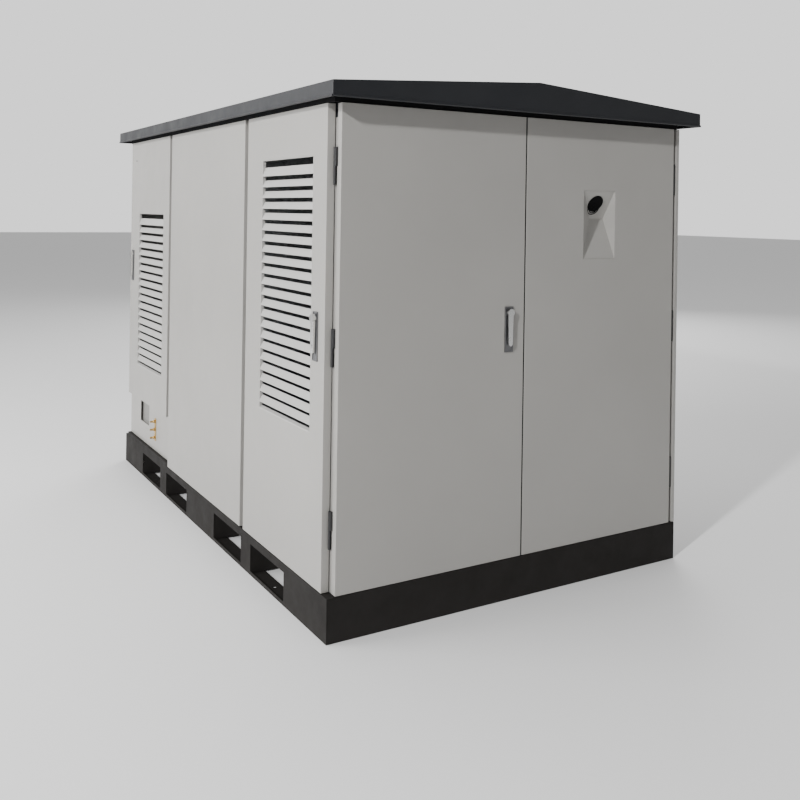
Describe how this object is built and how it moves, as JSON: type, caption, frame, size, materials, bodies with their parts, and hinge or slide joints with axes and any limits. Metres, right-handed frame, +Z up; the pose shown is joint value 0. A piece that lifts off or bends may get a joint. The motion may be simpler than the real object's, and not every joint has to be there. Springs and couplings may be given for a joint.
{
  "type": "pad-mounted transformer substation",
  "caption": "Compact kiosk substation: steel skid with fork pockets, low gable roof, louvred and plain hinged doors, and a transformer, low-voltage board and ring-main unit inside.",
  "frame": {"origin": "on the ground under the middle of the skid and the roof", "axes": "+X across the short end, +Y along the length towards the high-voltage end, +Z up; the low-voltage doors face -Y"},
  "size_m": [2.07, 3.31, 2.323],
  "materials": {
    "enclosure_paint": "satin",
    "roof_paint": "satin",
    "base_paint": "satin",
    "galvanised": "matte",
    "hinge_steel": "matte",
    "handle_chrome": "polished",
    "port_rubber": "matte",
    "tank_paint": "satin",
    "core_steel": "matte",
    "copper": "satin",
    "porcelain": "gloss",
    "switch_plastic": "matte",
    "switch_red": "gloss",
    "cable_rubber": "matte",
    "brass": "satin"
  },
  "bodies": {
    "enclosure": {"board": "galvanised", "bulkhead_front": "galvanised", "bulkhead_rear": "galvanised", "busbars": "copper", "cross_member_front": "galvanised", "cross_member_middle": "galvanised", "cross_member_rear": "galvanised", "earth_terminal": "brass", "floor_high_voltage": "galvanised", "floor_low_voltage": "galvanised", "floor_transformer": "galvanised", "fuse_strips": "switch_plastic", "high_voltage_bushings": "porcelain", "high_voltage_cables": "cable_rubber", "hinge_pins": "hinge_steel", "low_voltage_bushings": "porcelain", "panel_left": "enclosure_paint", "panel_low_left": "enclosure_paint", "panel_right": "enclosure_paint", "post_front_left": "enclosure_paint", "post_front_right": "enclosure_paint", "post_rear_left": "enclosure_paint", "post_rear_right": "enclosure_paint", "ring_main_unit": "tank_paint", "roof": "roof_paint", "skid_end_front": "base_paint", "skid_end_rear": "base_paint", "skid_rail_left": "base_paint", "skid_rail_right": "base_paint", "top_rail_front": "roof_paint", "top_rail_left": "roof_paint", "top_rail_rear": "roof_paint", "top_rail_right": "roof_paint", "transformer_core": "core_steel", "transformer_cover": "tank_paint", "transformer_tank": "tank_paint", "transformer_windings": "copper", "vent_hood_front": "enclosure_paint", "vent_hood_rear": "enclosure_paint"},
    "front_left_door": {"door_front_left": "enclosure_paint", "handle_plate_front": "handle_chrome"},
    "front_right_door": {"door_front_right": "enclosure_paint", "hopper": "enclosure_paint", "hopper_port": "port_rubber"},
    "rear_left_door": {"door_rear_left": "enclosure_paint", "handle_plate_rear": "handle_chrome"},
    "rear_right_door": {"door_rear_right": "enclosure_paint"},
    "side_front_door": {"door_left_front": "enclosure_paint", "louvre_left_front": "enclosure_paint", "handle_plate_left_front": "handle_chrome"},
    "side_rear_door": {"door_left_rear": "enclosure_paint", "louvre_left_rear": "enclosure_paint", "handle_plate_left_rear": "handle_chrome"},
    "front_handle": {"handle_lever_front": "handle_chrome"},
    "rear_handle": {"handle_lever_rear": "handle_chrome"},
    "side_front_handle": {"handle_lever_left_front": "handle_chrome"},
    "side_rear_handle": {"handle_lever_left_rear": "handle_chrome"},
    "tap_changer": {"tap_changer_knob": "switch_plastic"},
    "isolator": {"isolator_lever": "switch_red"},
    "ring_switch": {"ring_main_lever": "switch_red"}
  },
  "joints": [
    {"name": "front_left_door_swing", "type": "hinge", "parent": "enclosure", "child": "front_left_door", "pos_m": [-0.95, -1.517, 0.188], "axis": [0, 0, -1], "range_deg": [0, 100]},
    {"name": "front_right_door_swing", "type": "hinge", "parent": "enclosure", "child": "front_right_door", "pos_m": [0.949, -1.554, 0.188], "axis": [0, 0, 1], "range_deg": [0, 120]},
    {"name": "rear_left_door_swing", "type": "hinge", "parent": "enclosure", "child": "rear_left_door", "pos_m": [-0.95, 1.517, 0.188], "axis": [0, 0, 1], "range_deg": [0, 100]},
    {"name": "rear_right_door_swing", "type": "hinge", "parent": "enclosure", "child": "rear_right_door", "pos_m": [0.949, 1.554, 0.188], "axis": [0, 0, -1], "range_deg": [0, 120]},
    {"name": "side_front_door_swing", "type": "hinge", "parent": "enclosure", "child": "side_front_door", "pos_m": [-0.95, -0.633, 0.188], "axis": [0, 0, -1], "range_deg": [0, 95]},
    {"name": "side_rear_door_swing", "type": "hinge", "parent": "enclosure", "child": "side_rear_door", "pos_m": [-0.95, 0.633, 0.477], "axis": [0, 0, 1], "range_deg": [0, 95]},
    {"name": "front_handle_turn", "type": "hinge", "parent": "front_left_door", "child": "front_handle", "pos_m": [-0.089, -1.56, 1.294], "axis": [0, 1, 0], "range_deg": [0, 90]},
    {"name": "rear_handle_turn", "type": "hinge", "parent": "rear_left_door", "child": "rear_handle", "pos_m": [-0.089, 1.56, 1.294], "axis": [0, 1, 0], "range_deg": [0, 90]},
    {"name": "side_front_handle_turn", "type": "hinge", "parent": "side_front_door", "child": "side_front_handle", "pos_m": [-0.98, -1.423, 1.296], "axis": [1, 0, 0], "range_deg": [0, 90]},
    {"name": "side_rear_handle_turn", "type": "hinge", "parent": "side_rear_door", "child": "side_rear_handle", "pos_m": [-0.98, 1.438, 1.426], "axis": [-1, 0, 0], "range_deg": [0, 90]},
    {"name": "tap_changer_turn", "type": "hinge", "parent": "enclosure", "child": "tap_changer", "pos_m": [0.455, 0, 1.108], "axis": [0, 0, 1], "range_deg": [0, 144]},
    {"name": "isolator_turn", "type": "hinge", "parent": "enclosure", "child": "isolator", "pos_m": [0, -1.23, 1.458], "axis": [0, 1, 0], "range_deg": [0, 90]},
    {"name": "ring_switch_turn", "type": "hinge", "parent": "enclosure", "child": "ring_switch", "pos_m": [0, 1.44, 1.052], "axis": [0, 1, 0], "range_deg": [0, 90]}
  ]
}
